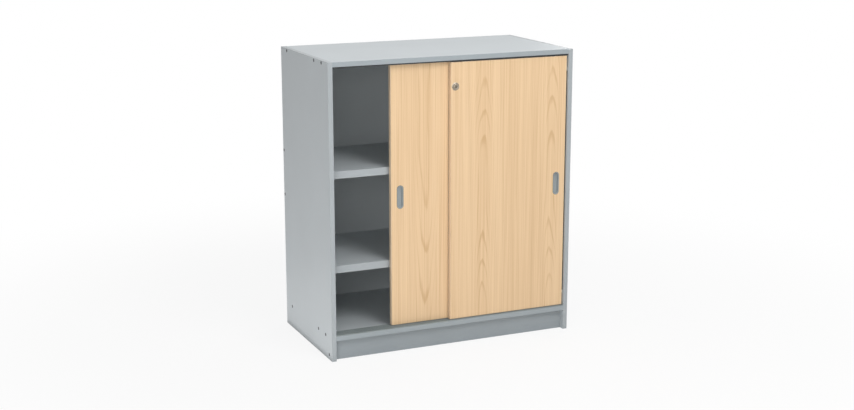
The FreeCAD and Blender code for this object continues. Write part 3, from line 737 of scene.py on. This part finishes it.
def carried_round(profile, centre, reach, sides, loop):
    """Points and faces of a profile carried round an oval in the XZ plane.

    With t going once round, a profile point (r, y) goes to x = r cos t and z = r sin t + s, where
    s is the reach with the sign of sin t. A profile that isn't a loop is closed by a face at
    each end.
    """
    t = (np.arange(sides) + 0.5) * 2 * np.pi / sides
    r, y = np.asarray(profile).T
    count = len(r)
    x = np.outer(np.cos(t), r)
    z = np.outer(np.sin(t), r) + np.sign(np.sin(t))[:, None] * reach
    points = (np.stack([x, np.broadcast_to(y, x.shape), z], -1) + centre).reshape(-1, 3)
    i, j = np.meshgrid(np.arange(sides), np.arange(count if loop else count - 1), indexing="ij")
    after, beyond = (i + 1) % sides, (j + 1) % count
    quads = np.stack([i * count + j, after * count + j, after * count + beyond, i * count + beyond], -1)
    quads = quads.reshape(-1, 4)
    if loop:
        return points, outward(points, quads).tolist()
    return points, capped(points, quads, np.arange(sides) * count, count - 1)


SQUARE = [(1, 0), (2, 0), (2, 1), (1, 1)]
print("a square carried round in 8 steps has",
      len(carried_round(SQUARE, np.zeros(3), reach=0.0, sides=8, loop=True)[1]), "faces")

# %% [markdown]
# ## From points to a piece
#
# A mesh object is made from the points and faces. Smooth shading hides the small flat faces, and
# edges past a certain angle stay sharp. Then three calls tie the piece to the construction: it
# rides on the body that it moves with, its slot says what it is made of, and it may stand in for
# a plain node.

# %% A piece that rides on a body
SHARP = math.radians(32)


def piece(name, points, faces, material, body, replaced=()):
    """Mesh object at the origin, smooth but for edges sharper than SHARP, that rides on a body."""
    mesh = bpy.data.meshes.new(name)
    mesh.from_pydata(np.asarray(points).tolist(), [], faces)
    mesh.shade_smooth()
    mesh.set_sharp_from_angle(angle=SHARP)
    mesh.materials.append(material)
    made = bpy.data.objects.new(name, mesh)
    bpy.context.scene.collection.objects.link(made)
    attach(made, body)
    if replaced:
        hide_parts(*replaced)
    print(name, "has", len(mesh.vertices), "points and", len(mesh.polygons), "faces")
    return made


print("edges stay sharp past", round(math.degrees(SHARP)), "degrees")

# %% [markdown]
# ## Finger pulls
#
# Each door is pulled by an oval cup of moulded plastic, pressed into the board. Light runs round
# its lip and fades in the cup, and that needs true round corners. The profile starts on the
# cup's floor, a little in from its wall. It rises along the wall, which has a little draft,
# rolls over the lip, and goes back under the flange and down the outside of the cup. The faces
# over the profile's two ends are the middle of the floor, inside and outside.

# %% Finger pulls
FLANGE = 1.0 * MM            # thickness of the flange on the door's face
LAP = 2.3 * MM               # how far the flange reaches over the board
WALL = 0.8 * MM
DRAFT = 0.5 * MM             # how much further in the wall stands at the floor
FLOOR_RIM = 3.0 * MM         # from the wall to where the profile starts on the floor
PULL_RADII = np.array([2.2, 1.3, 0.6, 0.1, 0.1, 0.8]) * MM
ROUND = 96                   # steps once round a pull or a turned piece of the lock
# Dark grey for the painted shade at the rim of a pull's flange, and for the dust of its skin
CUP_SHADE_AND_DUST = colour(66, 66, 62)
CUP_ROUGH = 0.28
EDGE_SHADE_FROM = 1.5 * MM         # painted shade at the flange's rim grows between these two distances from the edge
EDGE_SHADE_TO = 0.2 * MM
EDGE_SHADE_SHARE = 0.75            # how much of the grey the painted shade at the rim covers
EDGE_GLOSS = 0.3             # and how much duller the rim is
SKIN_SHARE = 0.15            # how much dust the skin holds everywhere


def cup_plastic(name, centre, radius, reach):
    """Grey plastic with painted shade, a dark line where the flange meets the door, and some dust all
    over.

    The distance from the oval's middle line is the square root of (x squared + beyond squared),
    where beyond is how far a point lies above or below the straight part, and 0 beside it.
    """
    finish = Finish(name)
    x, _, z = finish.axes(finish.place(tuple(centre)))
    beyond = (z.size() - reach).larger(0.0)
    # Painted shade: 1 at the rim of the flange, where the door meets it, and 0 further in
    edge = (x * x + beyond * beyond).root().rise(radius - EDGE_SHADE_FROM, radius - EDGE_SHADE_TO)
    skin = finish.noise(EVEN)
    # the rim's painted shade and the skin's dust darken the grey
    tint = finish.blend(edge * EDGE_SHADE_SHARE + skin * SKIN_SHARE, CUP_GREY, CUP_SHADE_AND_DUST)
    gloss = edge * EDGE_GLOSS + skin * SKIN_GLOSS + CUP_ROUGH
    return finish.paint(Base_Color=tint, Roughness=gloss, Normal=finish.bumps(skin, MOULD_DEPTH))


def pull_profile(radius, depth):
    """Profile of a pull from the edge of its floor inside to the edge of its floor outside."""
    inside, outside = radius - LAP - WALL, radius - LAP
    start, floor = inside - FLOOR_RIM, depth - WALL
    corners = [(start, floor), (inside - DRAFT, floor), (inside, 0.0), (radius, 0.0),
               (radius, FLANGE), (outside, FLANGE), (outside, depth), (start, depth)]
    return round_corners(corners, PULL_RADII)


def finger_pull(door):
    """Pull of one door, at the place and size of its node."""
    low, high, middle = middle_of(door + "_finger_pull")
    radius = (high[0] - low[0]) / 2
    reach = (high[2] - low[2]) / 2 - radius
    centre = np.array([middle[0], low[1], middle[2]])
    profile = pull_profile(radius, high[1] - low[1])
    points, faces = carried_round(profile, centre, reach, ROUND, loop=False)
    finish = cup_plastic(door + "_cup", centre, radius, reach)
    piece(door + "_pull", points, faces, finish, door, [door + "_finger_pull"])


for door in DOORS:
    finger_pull(door)

# %% [markdown]
# ## The lock
#
# The lock is the only bright metal on the front, and it is what the eye finds first. Its ring
# is domed, and the push cylinder inside it has a turned face: a fine groove and a shallow dish
# round the key plug. Both are profiles carried round a point, so the reach is nought. A
# ring-shaped pocket in the cylinder's back leaves room for its spring.

# %% Lock ring and push cylinder
RING_CHAMFER = 0.3 * MM      # on the ring's inner edge
RING_PLAY = 0.1 * MM         # between the ring and the push cylinder
PLUG_BORE = 5.55 * MM
PLUG_PLAY = 0.05 * MM        # behind the plug
SPIGOT_BORE = 3.05 * MM
DISH_DEPTH = 0.35 * MM       # how deep the face is sunk at the plug,
DISH_RIM = 0.25 * MM         # and at the groove
GROOVE = np.array([6.6, 7.0, 7.4]) * MM      # radius at its inner edge, bottom and outer edge
GROOVE_DEPTH = 0.55 * MM
POCKET_INNER = 6.6 * MM
POCKET_OUTER = 8.2 * MM
POCKET_DEPTH = 5.5 * MM
CYLINDER_RADII = np.array([0.1, 0.1, 0.12, 0.12, 0.15, 0.12, 0.6, 0.2, 0.1, 0.1, 0.1]) * MM


def dome(inner, outer, front, back, steps=14):
    """Loop for a domed ring: its front is a quarter-ellipse bulge from the outer edge inwards."""
    top = inner + RING_CHAMFER
    a = np.linspace(0, 1, steps) * np.pi / 2
    bulge = np.stack([top + (outer - top) * np.cos(a), back - (back - front) * np.sin(a)], -1)
    return np.vstack([bulge, [(inner, front + RING_CHAMFER), (inner, back)]])


def cylinder_face(radius, front, back, bore_end):
    """Loop for the push cylinder: bores, dished face, fine groove, rounded rim, spring pocket."""
    pocket = back - POCKET_DEPTH
    corners = [(SPIGOT_BORE, back), (SPIGOT_BORE, bore_end), (PLUG_BORE, bore_end),
               (PLUG_BORE, front + DISH_DEPTH), (GROOVE[0], front + DISH_RIM),
               (GROOVE[1], front + GROOVE_DEPTH), (GROOVE[2], front), (radius, front), (radius, back),
               (POCKET_OUTER, back), (POCKET_OUTER, pocket), (POCKET_INNER, pocket), (POCKET_INNER, back)]
    return round_corners(corners, CYLINDER_RADII)


def lock_pieces():
    """Domed ring on the door, and the push cylinder with its turned face."""
    low, high, middle = middle_of("lock_rosette")
    cylinder_low, cylinder_high, _ = middle_of("lock_push_cylinder")
    radius = (cylinder_high[0] - cylinder_low[0]) / 2
    axis = np.array([middle[0], 0.0, middle[2]])
    ring = dome(radius + RING_PLAY, (high[0] - low[0]) / 2, low[1], high[1])
    points, faces = carried_round(ring, axis, 0.0, ROUND, loop=True)
    piece("lock_ring", points, faces, nickel, "right_door", ["lock_rosette"])
    bore_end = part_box("lock_plug")[1][1] + PLUG_PLAY
    face = cylinder_face(radius, cylinder_low[1], cylinder_high[1], bore_end)
    points, faces = carried_round(face, axis, 0.0, ROUND, loop=True)
    piece("lock_cylinder_turned", points, faces, nickel, "lock_cylinder", ["lock_push_cylinder"])


lock_pieces()

# %% [markdown] ## The lock's spring  The spring in the pocket pushes the cylinder out again.
# The wire is a skin over rings of points, one after the other along the coil, with a face over
# each end.

# %% The lock's spring
WIRE = 0.4 * MM              # half the thickness of the spring's wire
TURNS = 5.0
END_TURNS = 0.9              # closed turns at each end, where wire lies on wire
TURN_STEPS = 40


def lofted(rings):
    """Points and faces of a skin over closed rings of points, with a face over each end."""
    lengths, sides, _ = rings.shape
    points = rings.reshape(-1, 3)
    i, j = np.meshgrid(np.arange(lengths - 1) * sides, np.arange(sides), indexing="ij")
    after = (j + 1) % sides
    quads = np.stack([i + j, i + after, i + after + sides, i + j + sides], -1).reshape(-1, 4)
    return points, capped(points, quads, np.arange(sides), (lengths - 1) * sides)


def coil_rings(low, high, sides=10):
    """Rings of points round the wire of a coil spring on a Y axis.

    After a turns the wire is at the angle 2 pi a on a circle of the coil's radius. Along Y it
    climbs two wire radii in each end turn, and evenly in between. N is the spoke to it, B =
    along x N stands square on both, and a ring is the wire's middle plus WIRE times
    (N cos u + B sin u).
    """
    radius = (high[0] - low[0]) / 2 - WIRE
    middle = (low + high) / 2
    a = np.linspace(0, TURNS, round(TURNS * TURN_STEPS) + 1)
    end = END_TURNS * 2 * WIRE
    stops = [low[1] + WIRE, low[1] + WIRE + end, high[1] - WIRE - end, high[1] - WIRE]
    y = np.interp(a, [0, END_TURNS, TURNS - END_TURNS, TURNS], stops)
    spoke = np.stack([np.cos(a * 2 * np.pi), np.zeros_like(a), np.sin(a * 2 * np.pi)], -1)
    path = spoke * radius + np.stack([np.full_like(a, middle[0]), y, np.full_like(a, middle[2])], -1)
    along = np.gradient(path, axis=0)
    along /= np.linalg.norm(along, axis=1, keepdims=True)
    square = np.cross(along, spoke)
    square /= np.linalg.norm(square, axis=1, keepdims=True)
    u = (np.arange(sides) * 2 * np.pi / sides)[None, :, None]
    return path[:, None] + WIRE * (spoke[:, None] * np.cos(u) + square[:, None] * np.sin(u))


def lock_spring():
    """Coil between the cylinder's pocket and the housing's floor, at its length at rest; the share it
    would close to under the push is printed.
    """
    low, high, middle = middle_of("lock_spring")
    points, faces = lofted(coil_rings(low, high))
    made = piece("lock_coil", points, faces, zinc, "right_door", ["lock_spring"])
    push = next(joint for joint in frame["joints"] if joint["name"] == "lock_push")
    keep = 1 - push["range_m"][1] / (high[1] - low[1])
    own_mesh(made)
    print("the spring closes to", round(keep, 3), "of its length")


lock_spring()

# %% [markdown]
# ## Felt strips of painted shade
#
# The doors pass each other 3 mm apart, and they close 4 mm short of the side panels. Strips of
# dark felt sit in those gaps: one on the back of the front door, along its free edge, and one on
# each side panel where a closed door's edge comes to stand. They are painted shade, dark pieces
# put where the gaps are in shade, and they make the joints read as thin dark lines. Each strip is a
# skin over a few rounded outlines, one above the other. Where the strike plate comes to stand
# behind the door's strip, the strip is planed thin.

# %% Felt strips of painted shade
FELT_DARK = colour(38, 36, 34)
FELT_LIGHT = colour(62, 59, 55)
FELT_ROUGH = 0.85
PILE = (1600.0, 1600.0, 1600.0)
PILE_GLOSS = 0.12
PILE_DEPTH = 0.1 * MM
FELT_THICK = 1.7 * MM        # leaves room for the flange of a pull to pass
FELT_THIN = 0.7 * MM         # leaves room for the strike plate
FELT_WIDTH = 3.0 * MM
FELT_INSET = 0.2 * MM        # from the door's edge
FELT_ENDS = 6.0 * MM         # from the door's top and bottom
FELT_CORNER = 0.3 * MM
FELT_STEP = 1.0 * MM         # height over which the strip goes from thick to thin
STRIKE_MARGIN = 3.0 * MM     # how far the thin part reaches past the strike plate
SIDE_FELT_THICK = 1.2 * MM
SIDE_FELT_MARGIN = 2.0 * MM  # from the door's faces to the edges of the strip
SIDE_FELT_ENDS = 53.0 * MM   # keeps clear of the buffers at the top and bottom


def felt():
    """Black felt: matt, with a fine short pile."""
    finish = Finish("felt")
    pile = finish.noise(PILE)
    tint = finish.blend(pile.rise(*NOISE_MOST), FELT_DARK, FELT_LIGHT)
    gloss = FELT_ROUGH + pile * PILE_GLOSS
    return finish.paint(Base_Color=tint, Roughness=gloss, Normal=finish.bumps(pile, PILE_DEPTH))


def strip_outline(x, y):
    """Closed rectangle from (x0, y0) to (x1, y1) whose corners are rounded."""
    (x0, x1), (y0, y1) = x, y
    start = ((x0 + x1) / 2, y0)
    corners = [start, (x1, y0), (x1, y1), (x0, y1), (x0, y0), start]
    return round_corners(corners, [FELT_CORNER] * 4, steps=5)[:-1]


def lifted(outline, z):
    """Closed outline of (x, y) as a ring of points at the height z."""
    return np.column_stack([outline, np.full(len(outline), z)])


def door_shade_felt(black):
    """Strip of dark felt behind the free edge of the front door, painted shade in the gap between the
    doors, thin over the height of the strike plate.
    """
    low, high, _ = middle_of("right_door_edging")
    strike_low, strike_high, _ = middle_of("strike_plate")
    left = low[0] + FELT_INSET
    thin_from, thin_to = strike_low[2] - STRIKE_MARGIN, strike_high[2] + STRIKE_MARGIN
    thick_at = [(FELT_THICK, low[2] + FELT_ENDS), (FELT_THICK, thin_from - FELT_STEP),
                (FELT_THIN, thin_from), (FELT_THIN, thin_to),
                (FELT_THICK, thin_to + FELT_STEP), (FELT_THICK, high[2] - FELT_ENDS)]
    rings = [lifted(strip_outline((left, left + FELT_WIDTH), (high[1], high[1] + thick)), z)
             for thick, z in thick_at]
    points, faces = lofted(np.array(rings))
    piece("right_door_shade_felt", points, faces, black, "right_door")


def side_shade_felts(black):
    """Strip of dark felt on each side panel, where the edge of a closed door comes to stand: painted
    shade in that gap.
    """
    for side, door, face in (("left", "left_door", 1), ("right", "right_door", 0)):
        low, high, _ = middle_of(door + "_edging")
        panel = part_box(side + "_side_panel")[face][0]
        proud = panel + (SIDE_FELT_THICK if face else -SIDE_FELT_THICK)
        y = (low[1] + SIDE_FELT_MARGIN, high[1] - SIDE_FELT_MARGIN)
        outline = strip_outline((min(panel, proud), max(panel, proud)), y)
        ends = low[2] + SIDE_FELT_ENDS, high[2] - SIDE_FELT_ENDS
        points, faces = lofted(np.array([lifted(outline, z) for z in ends]))
        piece(side + "_side_shade_felt", points, faces, black, "carcase")


# The felt strips are painted shade: dark pieces put in the gaps where shade falls
shade_felt = felt()
door_shade_felt(shade_felt)
side_shade_felts(shade_felt)

# %% [markdown]
# ## Wheels
#
# Four small wheels carry the doors. Each is a turned disc with a crowned rim, a thinner web and
# a hub. They turn with their doors, so each rides on its own body.

# %% Wheels
AXLE_BORE = 1.55 * MM
HUB = 3.2 * MM               # radius of the hub
RIM = 1.8 * MM               # thickness of the rim
WEB_SHARE = 0.55             # the web's width, as a share of the wheel's
SLOPE = 0.4 * MM             # the web's sides rise to the hub and the rim over this distance
CROWN = 0.5 * MM             # how far the tread falls away to the wheel's faces
TREAD_SHARE = 0.5            # the flat of the tread, as a share of the wheel's width
WHEEL_CORNER = 0.2 * MM
WHEEL_ROUND = 64             # steps once round


def wheel_profile(radius, half):
    """Loop of a wheel: hub as wide as the rim, a thinner web, and a crowned rim."""
    web, rim = half * WEB_SHARE, radius - RIM
    side = [(AXLE_BORE, half), (HUB, half), (HUB + SLOPE, web), (rim, web), (rim + SLOPE, half),
            (radius - CROWN, half), (radius, half * TREAD_SHARE)]
    other = [(r, -y) for r, y in reversed(side)]
    return round_corners(side + other, [WHEEL_CORNER] * (2 * len(side) - 2), steps=4)


def wheels():
    """One turned wheel for each of the four roller nodes."""
    for door in DOORS:
        for end in ("left", "right"):
            name = f"{door}_{end}"
            low, high, middle = middle_of(name + "_roller")
            profile = wheel_profile((high[0] - low[0]) / 2, (high[1] - low[1]) / 2)
            points, faces = carried_round(profile, middle, 0.0, WHEEL_ROUND, loop=True)
            piece(name + "_wheel_turned", points, faces, white_plastic, name + "_wheel",
                  [name + "_roller"])


wheels()

# %% [markdown]
# ## Floor and background
#
# The cabinet stands on a plain pale floor that runs out of sight. A real floor is never quite
# white, so the floor here is lit like anything else, but what the eye sees of it is mixed with
# plain white: mostly white near the cabinet, where its soft shadow still shows, and all white
# further off. The hollow under the cabinet is dark in life, so there the floor stays as it is
# lit. Light Path tells the shader which rays come from the eye.

# %% Floor
FLOOR_SIZE = 30.0
FLOOR_DROP = 0.2 * MM
FLOOR_GREY = colour(232, 232, 232)
FLOOR_ROUGH = 0.9
WHITE = (1.0, 1.0, 1.0, 1.0)
NEAR_WHITE = 0.87            # share of plain white near the cabinet
WHITENING = (0.8, 2.4)       # metres from its middle, over which that share rises to 1
UNDER_SHARE = 0.9            # how much of the white the hollow under the cabinet loses

# The hollow goes from dark to its end between two distances, measured inwards: along X from the
# cabinet's sides, and along Y from its front and back.
HOLLOW_X = (13 * MM, 1 * MM)
HOLLOW_Y = (45 * MM, 20 * MM)


def floor_paint():
    """Matt pale floor; seen rays get white by a share that rises with the distance.

    In the hollow under the cabinet that share is all but taken away.
    """
    half_width, half_depth, _ = box_before[1]
    paint = Finish("floor")
    paint.paint(Base_Color=FLOOR_GREY, Roughness=FLOOR_ROUGH)
    x, y, _ = paint.axes(paint.place())
    far = (x * x + y * y).root().rise(*WHITENING)
    white = paint.node("Emission", {}, {"Color": WHITE, "Strength": 1.0})
    inside_x = 1 - x.size().rise(*(half_width - edge for edge in HOLLOW_X))
    inside_y = 1 - y.size().rise(*(half_depth - edge for edge in HOLLOW_Y))
    near = 1 - inside_x * inside_y * UNDER_SHARE
    share = paint.seen() * (far * (1 - NEAR_WHITE) + NEAR_WHITE) * near
    lit = Value(paint, paint.shader.outputs[0])
    mixed = paint.node("MixShader", {}, {0: share, 1: lit, 2: white})
    paint.tree.links.new(mixed.socket, paint.tree.nodes["Material Output"].inputs[0])
    return paint.material


def floor():
    """Square of floor, a hair below the cabinet so that the two never share a plane."""
    half = FLOOR_SIZE / 2
    corners = [(-half, -half), (half, -half), (half, half), (-half, half)]
    mesh = bpy.data.meshes.new("floor")
    mesh.from_pydata([(x, y, -FLOOR_DROP) for x, y in corners], [], [[0, 1, 2, 3]])
    mesh.materials.append(floor_paint())
    made = bpy.data.objects.new("floor", mesh)
    bpy.context.scene.collection.objects.link(made)


floor()
print("floor of", FLOOR_SIZE, "m")

# %% [markdown]
# ## Lamps and sky
#
# The main lamp is a softbox above and in front. Two more at chest height, one of them well to
# the left, reach under the top, into the shelves, onto the plinth and onto the doors' edges. A
# wide box overhead lights the top. One that lies on the floor at the left and faces up stands for
# the light that a bright floor throws back, which makes the foot of the side brighter than its
# head. A weak one behind keeps the back from going dark. None of them shows itself.
#
# The sky does what the floor does: it is white to look at, and dim as a source of light.

# %% Lamps and sky
CABINET = Vector((0.0, 0.0, 0.5))
BESIDE = Vector((-1.255, 0.0, 0.005))
UP = Vector((0.0, 0.0, 1.0))
LAMPS = {                    # power in watts, width, place, and the point that it faces
    "main": (46.5, 1.4, Vector((0.5, -2.6, 3.0)), CABINET),
    "front": (11.0, 2.0, Vector((-0.1, -3.1, 1.6)), CABINET),
    "front_left": (28.0, 1.5, Vector((-1.95, -2.75, 1.0)), CABINET),
    "overhead": (48.0, 3.0, Vector((0.0, 0.0, 3.8)), CABINET),
    "floor_light": (4.2, 1.6, BESIDE, BESIDE + UP),
    "behind": (29.0, 1.4, Vector((2.6, 2.4, 0.8)), CABINET),
}
SKY = 0.2


def softbox(name, power, size, place, aim):
    """Square lamp that faces its aim and isn't seen itself."""
    lamp = bpy.data.lights.new(name, "AREA")
    lamp.energy, lamp.size = power, size
    made = bpy.data.objects.new(name, lamp)
    made.location = place
    made.rotation_euler = (aim - place).to_track_quat("-Z", "Y").to_euler()
    made.visible_camera = False
    bpy.context.scene.collection.objects.link(made)


class Sky(Finish):
    """The world's nodes, made with the same method as a material's."""

    def __init__(self):
        self.material = bpy.data.worlds.new("sky")
        bpy.context.scene.world = self.material
        self.material.use_nodes = True
        self.tree = self.material.node_tree
        self.shader = self.tree.nodes["Background"]


def pale_sky(strength):
    """Even white: strength 1 for what is seen or mirrored, and the given strength as light."""
    sky = Sky()
    sky.paint(Color=WHITE, Strength=sky.seen() * (1 - strength) + strength)


for name, (power, size, place, aim) in LAMPS.items():
    softbox(name, power, size, place, aim)
pale_sky(SKY)
bpy.context.scene.view_settings.view_transform = "Standard"

# %% [markdown]
